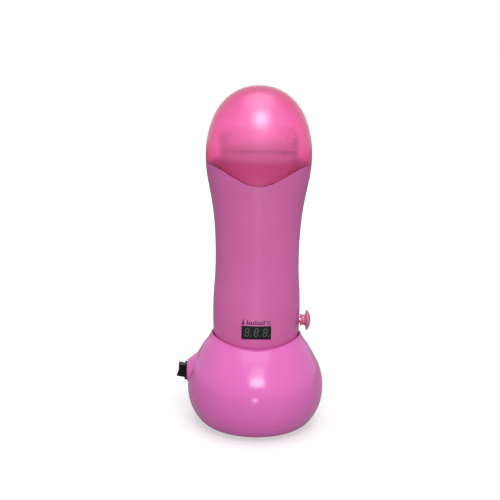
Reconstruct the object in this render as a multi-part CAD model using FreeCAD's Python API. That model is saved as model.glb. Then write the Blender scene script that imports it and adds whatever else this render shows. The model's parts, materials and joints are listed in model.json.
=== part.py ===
"""Roll-on wax warmer: an oval heated handpiece for a wax cartridge, standing in a round powered dock.

Frame: millimetres, +Z up, -Y towards the user, origin in the middle of the dock's foot ring, on the table.
"""

import FreeCAD, Part

import math
import os

from FreeCAD import Matrix, Vector

# Wax cartridge, the standard refill that everything else is built round
CARTRIDGE_HALF = 24.3
CARTRIDGE_HALF_DEPTH = 15.4
CARTRIDGE_WALL = 1.2
HEAD_OVERHANG = 2.0
HEAD_RISE = 13.6
ROLLER_RADIUS = 9.0
ROLLER_ABOVE_HEAD = 7.2
ROLLER_AXLE_RADIUS = 1.5
ROLLER_GAP = 0.5
AXLE_CLEARANCE = 0.08
CHEEK_RADIUS = 4.6
CHEEK_THICKNESS = 2.4
WAX_HEADROOM = 12.0

# Heater that holds the cartridge
CUP_CLEARANCE = 0.5
CUP_WALL = 1.1
CUP_FLOOR = 1.5
CUP_FLANGE = 1.5
PTC_WIDTH = 14.0
PTC_HEIGHT = 46.0
PTC_THICKNESS = 2.2
SHEET_THICKNESS = 0.5
SHEET_MARGIN = 1.5
HEATER_AIR = 0.9
CUP_SIDE_AIR = 0.4
FUSE_RADIUS = 1.7
FUSE_LENGTH = 11.0
SENSOR_RADIUS = 1.5
SENSOR_LENGTH = 6.0

# Skin of the handpiece and its cap, from the front: how much each level is wider or narrower than the waist
SHELL_WALL = 2.2
CAP_WALL = 2.0
SHOULDER_FLARE = 7.1
HIP_SWELL = 1.4
SEAT_TAPER = 3.1
DOME_HEIGHT = 46.0
WAIST_TO_SHOULDER = 70.0
HIP_TO_WAIST = 36.0
SEAT_TO_HIP = 46.7
SEAT_EDGE = 1.5
DOME_FULLNESS = 0.60
WAIST_REACH = 0.62
SHOULDER_REACH = 0.30
HIP_REACH = 0.50
SEAT_REACH = 0.40

# Parting line between cap and shells, and the collar that the cap slips over
PARTING_BELOW_SHOULDER = 5.0
PARTING_DIP = 13.0
PARTING_GAP = 0.3
PARTING_TIP_REACH = 0.36
PARTING_SIDE_REACH = 0.34
COLLAR_CLEARANCE = 0.25
COLLAR_WALL = 1.8
COLLAR_RISE = 1.5
COLLAR_GRIP = 6.0
DECK_DEPTH = 8.5
DECK_THICKNESS = 2.0
HEAD_SEAT_GAP = 0.3
SHELL_SEAM = 0.16

# Inside of the handpiece's lower end
RIB_DEPTH = 2.2
RIB_THICKNESS = 2.0
RIB_ROOT = 0.4
PLATE_RECESS = 3.0
PLATE_THICKNESS = 3.0
PLATE_FIT = 0.15
PLATE_TONGUE = 1.0
PLATE_TONGUE_THICKNESS = 1.5
BOARD_EDGE_GAP = 0.6
BOARD_ABOVE_PLATE = 2.0
BOARD_THICKNESS = 1.6
BOARD_BELOW_CUP = 2.0
BOARD_POST_RADIUS = 2.2
BOARD_POST_INSET = 3.0
CASE_SCREW_RADIUS = 1.45
CASE_SCREW_HEAD_RADIUS = 2.8
CASE_SCREW_HEAD = 1.9
CASE_SCREW_X = 18.5
CASE_SCREW_ABOVE_SEAT = 18.7
CASE_SCREW_BITE = 9.0
CASE_BOSS_WALL = 1.6
SCREW_CLEARANCE = 0.1

# Temperature display
DISPLAY_WIDTH = 19.4
DISPLAY_HEIGHT = 9.2
DISPLAY_DEPTH = 6.4
DISPLAY_BELOW_HIP = 10.7
DISPLAY_RECESS = 0.25
DISPLAY_WINDOW_GAP = 0.25
DIGIT_COUNT = 3
DIGIT_PITCH = 6.1
DIGIT_WIDTH = 3.1
DIGIT_HEIGHT = 6.0
DIGIT_SLANT = 8.0
SEGMENT_WIDTH = 0.8
SEGMENT_GAP = 0.12
SEGMENT_RELIEF = 0.12

# Temperature knob on the right-hand side
KNOB_BELOW_HIP = 7.6
KNOB_DISC_RADIUS = 7.0
KNOB_STEM_RADIUS = 3.6
KNOB_STEM_LENGTH = 3.8
KNOB_FLARE = 0.8
KNOB_DISC_EDGE = 1.5
KNOB_DOME = 1.7
KNOB_STANDOFF = 0.7
KNOB_MARK_WIDTH = 0.9
KNOB_MARK_DEPTH = 0.5
POT_RADIUS = 8.0
POT_LENGTH = 6.5
POT_BUSH_RADIUS = 3.0
POT_BUSH_LENGTH = 5.4
POT_SHAFT_RADIUS = 2.0
SHAFT_CLEARANCE = 0.05
BUSH_CLEARANCE = 0.1

# Dock, from the table up
FOOT_DROP = 1.0
FOOT_RADIUS = 26.0
BULGE_RADIUS = 47.2
BULGE_HEIGHT = 28.0
RIM_BELOW_KNOB = 1.9
RIM_DIP = 5.5
RIM_LIP = 0.9
RIM_ROUNDING = 0.35
FLANK_REACH = 16.0
RIM_REACH = 20.0
FLANK_SHARE = 0.68
DOCK_WALL = 2.4
DOCK_FLOOR_HEIGHT = 37.0
DOCK_FLOOR_THICKNESS = 2.5
DOCK_CLEARANCE = 0.9
WELL_WALL = 2.2
RIM_SOLID = 6.0
SEAT_GAP = 0.3

# Underside of the dock
FOOT_LIP = 1.6
COVER_THICKNESS = 2.6
COVER_GAP = 0.2
RING_MARGIN = 1.4
RING_WIDTH = 3.0
RING_SEAT = 1.3
RING_FIT = 0.05
POST_X = 8.0
POST_Y = 12.0
POST_RADIUS = 3.4
DOCK_SCREW_RADIUS = 1.45
DOCK_SCREW_HEAD_RADIUS = 2.7
DOCK_SCREW_HEAD = 1.7
DOCK_SCREW_BITE = 9.0
SCREW_RECESS = 2.2
SCREW_WEB = 1.6

# Spring contacts between dock and handpiece
CONTACT_X = 10.0
PIN_RADIUS = 2.0
PIN_COLLAR_RADIUS = 3.3
PIN_COLLAR = 1.2
PIN_LIFT = 1.0
PIN_TAIL_RADIUS = 1.1
PIN_TAIL = 3.0
PIN_CLEARANCE = 0.1
STUD_GAP = 0.3
STUD_HEAD = 1.0
STUD_HEAD_RADIUS = 4.2
STUD_SHANK_RADIUS = 1.6
STUD_SHANK = 3.0
BLOCK_HEIGHT = 13.0
BLOCK_FLOOR = 2.0
BLOCK_WALL = 2.6
SPRING_WIRE = 0.6
SPRING_TURNS = 5.0
SPRING_CLEARANCE = 0.25

# Rocker switch on the dock's left-hand side
SWITCH_HEIGHT = 38.4
SWITCH_STANDOFF = 0.4
SWITCH_BOSS_MARGIN = 0.6
SWITCH_BOSS_SLOPE = 38.0
SWITCH_CORNER = 0.6
BEZEL_HALF_HEIGHT = 5.6
BEZEL_HALF_WIDTH = 4.3
BEZEL_THICKNESS = 1.8
BEZEL_LIP = 0.4
SWITCH_WALL = 0.5
SWITCH_BODY_DEPTH = 10.0
SWITCH_FLOOR = 1.6
SWITCH_FIT = 0.2
ROCKER_RISE = 6.2
ROCKER_DISH = 0.6
ROCKER_ROOT = 2.0
ROCKER_PIVOT_OUT = 0.6
ROCKER_TILT = 10.0
ROCKER_SIDE_GAP = 0.3
ROCKER_END_GAP = 0.15
ROCKER_PIN_RADIUS = 1.0
TERMINAL_LENGTH = 4.5
TERMINAL_WIDTH = 4.0
TERMINAL_THICKNESS = 0.8
TERMINAL_PITCH = 5.0

# Two-pin power inlet in the dock's back
INLET_HEIGHT = 22.0
INLET_STANDOFF = 0.2
INLET_HALF_WIDTH = 7.1
INLET_HALF_HEIGHT = 3.8
INLET_WALL = 1.8
INLET_FLANGE = 1.6
INLET_FLANGE_THICKNESS = 1.4
INLET_DEPTH = 11.5
INLET_BACK = 3.0
INLET_FIT = 0.2
INLET_BOSS_MARGIN = 1.2
INLET_PIN_RADIUS = 1.2
INLET_PIN_PITCH = 8.6
INLET_PIN_RECESS = 1.5
INLET_TAIL = 5.0

# Skin levels worked out from the cartridge outwards
CUP_HALF = CARTRIDGE_HALF + CUP_CLEARANCE + CUP_WALL
CUP_HALF_DEPTH = CARTRIDGE_HALF_DEPTH + CUP_CLEARANCE + CUP_WALL
WAIST_HALF = CUP_HALF + CUP_SIDE_AIR + SHELL_WALL
WAIST_HALF_DEPTH = CUP_HALF_DEPTH + PTC_THICKNESS + SHEET_THICKNESS + HEATER_AIR + SHELL_WALL
SECTION_DEPTH = WAIST_HALF_DEPTH / WAIST_HALF
SHOULDER_HALF = WAIST_HALF + SHOULDER_FLARE
HIP_HALF = WAIST_HALF + HIP_SWELL
SEAT_HALF = HIP_HALF - SEAT_TAPER
SEAT_Z = DOCK_FLOOR_HEIGHT + SEAT_GAP
HIP_Z = SEAT_Z + SEAT_TO_HIP
WAIST_Z = HIP_Z + HIP_TO_WAIST
SHOULDER_Z = WAIST_Z + WAIST_TO_SHOULDER
TOP_Z = SHOULDER_Z + DOME_HEIGHT
PARTING_SIDE_Z = SHOULDER_Z - PARTING_BELOW_SHOULDER
PARTING_TIP_Z = PARTING_SIDE_Z - PARTING_DIP
COLLAR_INSET = max(SHELL_WALL, CAP_WALL) + COLLAR_CLEARANCE
COLLAR_TOP_Z = PARTING_SIDE_Z + COLLAR_RISE
COLLAR_BOTTOM_Z = PARTING_TIP_Z - COLLAR_GRIP
DECK_TOP_Z = COLLAR_TOP_Z - DECK_DEPTH
CUP_TOP_Z = DECK_TOP_Z - DECK_THICKNESS
PLATE_Z = SEAT_Z + PLATE_RECESS
BOARD_HALF_WIDTH = CASE_SCREW_X - CASE_SCREW_HEAD_RADIUS - CASE_BOSS_WALL - BOARD_EDGE_GAP
BOARD_TOP_Z = HIP_Z
BOARD_HEIGHT = BOARD_TOP_Z - PLATE_Z - PLATE_THICKNESS - BOARD_ABOVE_PLATE
CUP_FLOOR_Z = BOARD_TOP_Z + BOARD_BELOW_CUP
CARTRIDGE_Z = CUP_FLOOR_Z + CUP_FLOOR + CUP_CLEARANCE
HEAD_Z = DECK_TOP_Z + HEAD_SEAT_GAP
HEAD_TOP_Z = HEAD_Z + HEAD_RISE
HEAD_HALF = CARTRIDGE_HALF + HEAD_OVERHANG
ROLLER_LENGTH = 2 * (HEAD_HALF - CHEEK_THICKNESS - ROLLER_GAP)
ROLLER_Z = HEAD_TOP_Z + ROLLER_ABOVE_HEAD
DISPLAY_Z = HIP_Z - DISPLAY_BELOW_HIP
KNOB_Z = HIP_Z - KNOB_BELOW_HIP
RIM_HEIGHT = KNOB_Z - KNOB_DISC_RADIUS - RIM_BELOW_KNOB
CASE_SCREW_Z = SEAT_Z + CASE_SCREW_ABOVE_SEAT
PIN_TIP_Z = PLATE_Z - STUD_HEAD - STUD_GAP
FLOOR_UNDER_Z = DOCK_FLOOR_HEIGHT - DOCK_FLOOR_THICKNESS
POST_FOOT_Z = FOOT_DROP + SCREW_RECESS + SCREW_WEB
COVER_RADIUS = FOOT_RADIUS - FOOT_LIP
RING_OUTER = COVER_RADIUS - RING_MARGIN
SWITCH_SEAT = BULGE_RADIUS + SWITCH_STANDOFF
INLET_SEAT = BULGE_RADIUS + INLET_STANDOFF
SKIN_LEVELS = 4
OPEN_END = 2.0
FAR = 200.0

UP = Vector(0, 0, 1)
RIGHT = Vector(1, 0, 0)
BACK = Vector(0, 1, 0)


def box(x0, x1, y0, y1, z0, z1):
    """A box between two corners."""
    return Part.makeBox(x1 - x0, y1 - y0, z1 - z0, Vector(x0, y0, z0))


def slab(z0, z1):
    """Everything between two levels."""
    return box(-FAR, FAR, -FAR, FAR, z0, z1)


def rod(radius, start, axis, length):
    """A cylinder from a start point along an axis."""
    return Part.makeCylinder(radius, length, start, axis)


def line(start, end):
    """A straight edge between two (x, z) points."""
    return Part.makeLine(Vector(start[0], 0, start[1]), Vector(end[0], 0, end[1]))


def bezier(*poles):
    """A Bezier edge over (x, z) poles."""
    curve = Part.BezierCurve()
    curve.setPoles([Vector(x, 0, z) for x, z in poles])
    return curve.toShape()


def arc(start, middle, end):
    """A circular edge through three (x, z) points."""
    return Part.Arc(*[Vector(x, 0, z) for x, z in (start, middle, end)]).toShape()


def polygon(points):
    """A closed face in the XZ plane over (x, z) points."""
    corners = [Vector(x, 0, z) for x, z in points]
    return Part.Face(Part.makePolygon(corners + corners[:1]))


def spun(edges):
    """The solid that a closed (radius, z) outline sweeps about the Z axis."""
    return Part.Face(Part.Wire(edges)).revolve(Vector(), UP, 360)


def spun_outline(points):
    """The solid that straight runs between (radius, z) points sweep about the Z axis."""
    return polygon(points).revolve(Vector(), UP, 360)


def along_x(solid, z):
    """Lays a solid that was spun about Z on the X axis, at a height."""
    solid.rotate(Vector(), BACK, 90)
    solid.translate(Vector(0, 0, z))
    return solid


def stadium(half_width, half_depth, z0, z1):
    """A flat-sided oval post: two half rounds of the half depth joined by straight sides."""
    run = half_width - half_depth
    body = box(-run, run, -half_depth, half_depth, z0, z1)
    for side in (-1, 1):
        body = body.fuse(rod(half_depth, Vector(side * run, 0, z0), UP, z1 - z0))
    return body.removeSplitter()


def skin_curves(inset):
    """Right-hand outline of the handpiece's skin, seat to top, as one curve per level, moved in by inset."""
    seat = SEAT_HALF - inset
    hip = HIP_HALF - inset
    waist = WAIST_HALF - inset
    shoulder = SHOULDER_HALF - inset
    top = TOP_Z - inset
    middle = (seat + hip) / 2
    return [
        bezier((seat, SEAT_Z), (middle, SEAT_Z + SEAT_REACH * SEAT_TO_HIP),
               (hip, HIP_Z - SEAT_REACH * SEAT_TO_HIP), (hip, HIP_Z)),
        bezier((hip, HIP_Z), (hip, HIP_Z + HIP_REACH * HIP_TO_WAIST),
               (waist, WAIST_Z - HIP_REACH * HIP_TO_WAIST), (waist, WAIST_Z)),
        bezier((waist, WAIST_Z), (waist, WAIST_Z + WAIST_REACH * WAIST_TO_SHOULDER),
               (shoulder, SHOULDER_Z - SHOULDER_REACH * WAIST_TO_SHOULDER), (shoulder, SHOULDER_Z)),
        bezier((shoulder, SHOULDER_Z), (shoulder, SHOULDER_Z + DOME_FULLNESS * (top - SHOULDER_Z)),
               (DOME_FULLNESS * shoulder, top), (0, top)),
    ]


def oval(solid):
    """Flattens a round solid front to back to the handpiece's oval section."""
    flatten = Matrix()
    flatten.scale(1, SECTION_DEPTH, 1)
    return solid.transformGeometry(flatten)


def skin_solid(inset, bottom_z, levels=SKIN_LEVELS):
    """The handpiece's skin moved in by inset, filled, from bottom_z up through so many of its levels."""
    curves = skin_curves(inset)[:levels]
    seat = SEAT_HALF - inset
    edges = [line((0, bottom_z), (seat, bottom_z))]
    if bottom_z < SEAT_Z:
        edges.append(line((seat, bottom_z), (seat, SEAT_Z)))
    edges += curves
    end = curves[-1].Vertexes[-1].Point
    if levels < SKIN_LEVELS:
        edges.append(line((end.x, end.z), (0, end.z)))
    edges.append(line((0, end.z), (0, bottom_z)))
    return oval(spun(edges))


def skin_half(z):
    """Half width of the handpiece's skin at a height."""
    level = Part.makeLine(Vector(0, 0, z), Vector(FAR, 0, z))
    return Part.Wire(skin_curves(0)).distToShape(level)[1][0][0].x


def skin_front(x, z):
    """How far the skin's front lies before the axis, at x and a height."""
    half = skin_half(z)
    return SECTION_DEPTH * math.sqrt(half ** 2 - x ** 2)


def above_parting(shift):
    """Everything above the cap's parting line, which dips to a soft point at front and back."""
    reach = SHOULDER_HALF
    side = PARTING_SIDE_Z + shift
    tip = PARTING_TIP_Z + shift
    top = TOP_Z + SHOULDER_HALF
    edges = []
    for hand in (1, -1):
        edges.append(bezier((hand * reach, side), (hand * (1 - PARTING_SIDE_REACH) * reach, side),
                            (hand * PARTING_TIP_REACH * reach, tip), (0, tip)))
        edges.append(line((hand * reach, side), (hand * 2 * reach, side)))
        edges.append(line((hand * 2 * reach, side), (hand * 2 * reach, top)))
    edges.append(line((-2 * reach, top), (2 * reach, top)))
    face = Part.Face(Part.Wire(Part.__sortEdges__(edges)))
    face.translate(Vector(0, -FAR, 0))
    return face.extrude(Vector(0, 2 * FAR, 0))


def cap():
    """Clear dome that slips over the collar and closes on the shells' upper edge."""
    dome = skin_solid(0, SEAT_Z).cut(skin_solid(CAP_WALL, SEAT_Z - OPEN_END))
    return dome.common(above_parting(PARTING_GAP))


def collar_core(inset):
    """Inside of the shells moved in by inset, going straight up from the parting line's tip so the cap lifts off."""
    lower = skin_solid(inset, SEAT_Z).common(slab(COLLAR_BOTTOM_Z, PARTING_TIP_Z))
    upper = rod(skin_half(PARTING_TIP_Z) - inset, Vector(0, 0, PARTING_TIP_Z), UP, COLLAR_TOP_Z - PARTING_TIP_Z)
    return lower.fuse(oval(upper))


def cap_collar():
    """Neck ring that carries the cap, with a deck that the cartridge's head stands on."""
    hollow = collar_core(COLLAR_INSET + COLLAR_WALL)
    deck = slab(CUP_TOP_Z, DECK_TOP_Z)
    mouth = stadium(CARTRIDGE_HALF + CUP_CLEARANCE, CARTRIDGE_HALF_DEPTH + CUP_CLEARANCE, CUP_TOP_Z, DECK_TOP_Z)
    return collar_core(COLLAR_INSET).cut(hollow.cut(deck)).cut(mouth)


def plate_slot(grow):
    """The bottom plate's tongue, grown by a clearance: the groove that the shells clamp it in."""
    z = PLATE_Z + (PLATE_THICKNESS - PLATE_TONGUE_THICKNESS) / 2
    tongue = skin_solid(SHELL_WALL - PLATE_TONGUE - grow, SEAT_Z, 1)
    return tongue.common(slab(z - grow, z + PLATE_TONGUE_THICKNESS + grow))


def bottom_plate():
    """Floor of the handpiece, clamped in a groove of the shells, with two holes for the contact studs."""
    plate = skin_solid(SHELL_WALL + PLATE_FIT, SEAT_Z, 1).common(slab(PLATE_Z, PLATE_Z + PLATE_THICKNESS))
    plate = plate.fuse(plate_slot(0))
    for side in (-1, 1):
        hole = rod(STUD_SHANK_RADIUS + SHAFT_CLEARANCE, Vector(side * CONTACT_X, 0, PLATE_Z), UP, PLATE_THICKNESS)
        plate = plate.cut(hole)
    return plate


def contact_studs():
    """Brass rivets in the bottom plate that meet the dock's spring pins."""
    under = PLATE_Z - STUD_HEAD
    top = PLATE_Z + PLATE_THICKNESS + STUD_SHANK
    studs = []
    for side in (-1, 1):
        stud = spun_outline([(0, under), (STUD_HEAD_RADIUS - STUD_HEAD / 2, under),
                             (STUD_HEAD_RADIUS, under + STUD_HEAD / 2), (STUD_HEAD_RADIUS, PLATE_Z),
                             (STUD_SHANK_RADIUS, PLATE_Z), (STUD_SHANK_RADIUS, top), (0, top)])
        stud.translate(Vector(side * CONTACT_X, 0, 0))
        studs.append(stud)
    return Part.makeCompound(studs)


def board_face_y():
    """The y of the control board's front face, behind the display."""
    return display_face_y() + DISPLAY_DEPTH


def display_face_y():
    """The y of the display's face: just behind the skin at the window's sides."""
    return -skin_front(DISPLAY_WIDTH / 2, DISPLAY_Z - DISPLAY_HEIGHT / 2) + DISPLAY_RECESS


def board_post_places():
    """Where the control board is carried: (x, z) of its four posts."""
    x = BOARD_HALF_WIDTH - BOARD_POST_INSET
    low = BOARD_TOP_Z - BOARD_HEIGHT + BOARD_POST_INSET
    high = BOARD_TOP_Z - BOARD_POST_INSET
    return [(side * x, z) for side in (-1, 1) for z in (low, high)]


def case_screw_seat_y():
    """The y where the case screws' heads bear in the rear shell."""
    return skin_front(CASE_SCREW_X, CASE_SCREW_Z) - CASE_SCREW_HEAD - CASE_BOSS_WALL


def shell_tube():
    """Both shells as one tube, with their ribs, posts, bosses and openings, before they are parted."""
    skin = skin_solid(0, SEAT_Z)
    foot = [edge for edge in skin.Edges if edge.BoundBox.ZMax < SEAT_Z + SEAT_EDGE]
    hollow = skin_solid(SHELL_WALL, SEAT_Z - OPEN_END)
    tube = skin.makeFillet(SEAT_EDGE, foot).cut(hollow).cut(above_parting(0))
    rib = skin_solid(SHELL_WALL - RIB_ROOT, SEAT_Z).cut(skin_solid(SHELL_WALL + RIB_DEPTH, SEAT_Z - OPEN_END))
    tube = tube.fuse(rib.common(slab(COLLAR_BOTTOM_Z - RIB_THICKNESS, COLLAR_BOTTOM_Z)))
    within = skin_solid(SHELL_WALL - RIB_ROOT, SEAT_Z, 1)
    for x, z in board_post_places():
        post = rod(BOARD_POST_RADIUS, Vector(x, -FAR, z), BACK, FAR + board_face_y())
        tube = tube.fuse(post.common(within))
    for side in (-1, 1):
        at = Vector(side * CASE_SCREW_X, -FAR, CASE_SCREW_Z)
        boss = rod(CASE_SCREW_HEAD_RADIUS + CASE_BOSS_WALL, at, BACK, 2 * FAR)
        tube = tube.fuse(boss.common(within))
    for side in (-1, 1):
        seat = case_screw_seat_y()
        tip = Vector(side * CASE_SCREW_X, -CASE_SCREW_BITE - SCREW_CLEARANCE, CASE_SCREW_Z)
        tube = tube.cut(rod(CASE_SCREW_RADIUS + SCREW_CLEARANCE, tip, BACK, seat - tip.y))
        sink = Vector(side * CASE_SCREW_X, seat, CASE_SCREW_Z)
        tube = tube.cut(rod(CASE_SCREW_HEAD_RADIUS + SCREW_CLEARANCE, sink, BACK, FAR))
    tube = tube.cut(plate_slot(SCREW_CLEARANCE))
    half_width = DISPLAY_WIDTH / 2 + DISPLAY_WINDOW_GAP
    half_height = DISPLAY_HEIGHT / 2 + DISPLAY_WINDOW_GAP
    tube = tube.cut(box(-half_width, half_width, -FAR, 0, DISPLAY_Z - half_height, DISPLAY_Z + half_height))
    return tube.cut(rod(POT_BUSH_RADIUS + BUSH_CLEARANCE, Vector(0, 0, KNOB_Z), RIGHT, FAR))


def front_shell(tube):
    """Front half of the handpiece's case."""
    return tube.common(box(-FAR, FAR, -FAR, -SHELL_SEAM / 2, 0, TOP_Z))


def rear_shell(tube):
    """Rear half of the handpiece's case."""
    return tube.common(box(-FAR, FAR, SHELL_SEAM / 2, FAR, 0, TOP_Z))


def case_screws():
    """Two screws that pull the shells together from behind."""
    seat = case_screw_seat_y()
    screws = []
    for side in (-1, 1):
        at = Vector(side * CASE_SCREW_X, -CASE_SCREW_BITE, CASE_SCREW_Z)
        shank = rod(CASE_SCREW_RADIUS, at, BACK, CASE_SCREW_BITE + seat)
        head = rod(CASE_SCREW_HEAD_RADIUS, Vector(at.x, seat, at.z), BACK, CASE_SCREW_HEAD)
        screws.append(shank.fuse(head).removeSplitter())
    return Part.makeCompound(screws)


def heater_cup():
    """Aluminium cup that the cartridge stands in, hung from the collar's deck by its flange."""
    cup = stadium(CUP_HALF, CUP_HALF_DEPTH, CUP_FLOOR_Z, CUP_TOP_Z)
    flange = stadium(CUP_HALF + CUP_FLANGE, CUP_HALF_DEPTH + CUP_FLANGE, CUP_TOP_Z - CUP_FLANGE, CUP_TOP_Z)
    inside = stadium(CUP_HALF - CUP_WALL, CUP_HALF_DEPTH - CUP_WALL, CUP_FLOOR_Z + CUP_FLOOR, CUP_TOP_Z)
    return cup.fuse(flange).cut(inside).removeSplitter()


def heater_z():
    """Height of the heating plates' middle: half way up the cup."""
    return (CUP_FLOOR_Z + CUP_TOP_Z) / 2


def plates(width, height, near, thickness):
    """A pair of flat plates, one on each broad side of the cup, at a distance from the axis."""
    z = heater_z()
    front = box(-width / 2, width / 2, -near - thickness, -near, z - height / 2, z + height / 2)
    back = box(-width / 2, width / 2, near, near + thickness, z - height / 2, z + height / 2)
    return Part.makeCompound([front, back])


def heating_plates():
    """Ceramic heating plates on the cup's broad sides."""
    return plates(PTC_WIDTH, PTC_HEIGHT, CUP_HALF_DEPTH, PTC_THICKNESS)


def insulation_sheets():
    """Mica sheets over the heating plates."""
    return plates(PTC_WIDTH, PTC_HEIGHT + 2 * SHEET_MARGIN, CUP_HALF_DEPTH + PTC_THICKNESS, SHEET_THICKNESS)


def thermal_fuse():
    """Cut-out fuse clipped across the back of the cup, below the heating plate."""
    z = heater_z() - PTC_HEIGHT / 2 - SHEET_MARGIN - 2 * FUSE_RADIUS
    return rod(FUSE_RADIUS, Vector(-FUSE_LENGTH / 2, CUP_HALF_DEPTH + FUSE_RADIUS, z), RIGHT, FUSE_LENGTH)


def temperature_sensor():
    """Sensor bead under the cup's floor."""
    z = CUP_FLOOR_Z - SENSOR_RADIUS
    return rod(SENSOR_RADIUS, Vector(0, -SENSOR_LENGTH / 2, z), BACK, SENSOR_LENGTH)


def control_board():
    """Circuit board on the front shell's posts, behind the display."""
    y = board_face_y()
    return box(-BOARD_HALF_WIDTH, BOARD_HALF_WIDTH, y, y + BOARD_THICKNESS, BOARD_TOP_Z - BOARD_HEIGHT, BOARD_TOP_Z)


def display_module():
    """Black block of the three-digit display, soldered to the board."""
    y = display_face_y()
    half_width = DISPLAY_WIDTH / 2
    half_height = DISPLAY_HEIGHT / 2
    return box(-half_width, half_width, y, y + DISPLAY_DEPTH, DISPLAY_Z - half_height, DISPLAY_Z + half_height)


def segment(x0, z0, x1, z1):
    """One bar of a digit between two corners of its grid: a flat outline pointed at both ends."""
    length = math.hypot(x1 - x0, z1 - z0)
    ux, uz = (x1 - x0) / length, (z1 - z0) / length
    half = SEGMENT_WIDTH / 2
    outline = [(SEGMENT_GAP, 0), (SEGMENT_GAP + half, half), (length - SEGMENT_GAP - half, half),
               (length - SEGMENT_GAP, 0), (length - SEGMENT_GAP - half, -half), (SEGMENT_GAP + half, -half)]
    slant = math.tan(math.radians(DIGIT_SLANT))
    corners = []
    for along, across in outline:
        x = x0 + along * ux - across * uz
        z = z0 + along * uz + across * ux
        corners.append((x + slant * z, DISPLAY_Z + z))
    return polygon(corners)


def display_digits():
    """Bars and points of the three digits, standing a hair proud of the display's face."""
    half_width = (DIGIT_WIDTH - SEGMENT_WIDTH) / 2
    half_height = (DIGIT_HEIGHT - SEGMENT_WIDTH) / 2
    levels = (-half_height, 0, half_height)
    face_y = display_face_y()
    bars = []
    for digit in range(DIGIT_COUNT):
        middle = (digit - (DIGIT_COUNT - 1) / 2) * DIGIT_PITCH
        left, right = middle - half_width, middle + half_width
        for z in levels:
            bars.append(segment(left, z, right, z))
        for x in (left, right):
            for z0, z1 in zip(levels, levels[1:]):
                bars.append(segment(x, z0, x, z1))
    solids = []
    for bar in bars:
        bar.translate(Vector(0, face_y, 0))
        solids.append(bar.extrude(Vector(0, -SEGMENT_RELIEF, 0)))
    for digit in range(DIGIT_COUNT):
        x = (digit - (DIGIT_COUNT - 1) / 2) * DIGIT_PITCH + DIGIT_PITCH / 2 - SEGMENT_WIDTH
        at = Vector(x, face_y, DISPLAY_Z - half_height)
        solids.append(rod(SEGMENT_WIDTH / 2, at, -BACK, SEGMENT_RELIEF))
    return Part.makeCompound(solids)


def knob_wall():
    """The x of the skin at the knob's height."""
    return skin_half(KNOB_Z)


def potentiometer():
    """Rotary control whose bush is clamped between the shells."""
    face = knob_wall() - POT_BUSH_LENGTH
    body = spun_outline([(POT_SHAFT_RADIUS + SHAFT_CLEARANCE, face - POT_LENGTH), (POT_RADIUS, face - POT_LENGTH),
                         (POT_RADIUS, face), (POT_BUSH_RADIUS, face), (POT_BUSH_RADIUS, knob_wall()),
                         (POT_SHAFT_RADIUS + SHAFT_CLEARANCE, knob_wall())])
    return along_x(body, KNOB_Z)


def knob_levels():
    """The x of the knob's stem, of the disc's back and of its edge."""
    stem = knob_wall() + KNOB_STANDOFF
    back = stem + KNOB_STEM_LENGTH
    return stem, back, back + KNOB_DISC_EDGE


def control_shaft():
    """Shaft of the rotary control, which carries the knob."""
    start = knob_wall() - POT_BUSH_LENGTH - POT_LENGTH
    return rod(POT_SHAFT_RADIUS, Vector(start, 0, KNOB_Z), RIGHT, knob_levels()[1] - start)


def temperature_knob():
    """Mushroom knob: a flared stem, a thin disc with a domed face, and a pointer groove in the face."""
    stem, back, edge = knob_levels()
    bore = POT_SHAFT_RADIUS + SHAFT_CLEARANCE
    waist = stem + KNOB_STEM_LENGTH / 2
    rim = KNOB_DISC_RADIUS
    half_edge = KNOB_DISC_EDGE / 2
    crown = edge + KNOB_DOME
    outline = [
        line((0, back), (bore, back)),
        line((bore, back), (bore, stem)),
        line((bore, stem), (KNOB_STEM_RADIUS + KNOB_FLARE, stem)),
        arc((KNOB_STEM_RADIUS + KNOB_FLARE, stem), (KNOB_STEM_RADIUS, waist), (KNOB_STEM_RADIUS + KNOB_FLARE, back)),
        line((KNOB_STEM_RADIUS + KNOB_FLARE, back), (rim - half_edge, back)),
        arc((rim - half_edge, back), (rim, back + half_edge), (rim - half_edge, edge)),
        bezier((rim - half_edge, edge), (rim / 2, crown), (rim / 4, crown), (0, crown)),
        line((0, crown), (0, back)),
    ]
    knob = along_x(spun(outline), KNOB_Z)
    half = KNOB_MARK_WIDTH / 2
    groove = box(crown - KNOB_MARK_DEPTH - KNOB_DOME / 2, crown, -half, half, KNOB_Z + rim / 3, KNOB_Z + rim)
    return knob.cut(groove)


def cartridge_body():
    """Thin-walled wax container."""
    body = stadium(CARTRIDGE_HALF, CARTRIDGE_HALF_DEPTH, CARTRIDGE_Z, HEAD_Z)
    inside = stadium(CARTRIDGE_HALF - CARTRIDGE_WALL, CARTRIDGE_HALF_DEPTH - CARTRIDGE_WALL,
                     CARTRIDGE_Z + CARTRIDGE_WALL, HEAD_Z)
    return body.cut(inside)


def wax_fill():
    """The wax charge, filled to below the container's mouth."""
    return stadium(CARTRIDGE_HALF - CARTRIDGE_WALL, CARTRIDGE_HALF_DEPTH - CARTRIDGE_WALL,
                   CARTRIDGE_Z + CARTRIDGE_WALL, HEAD_Z - WAX_HEADROOM)


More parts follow.
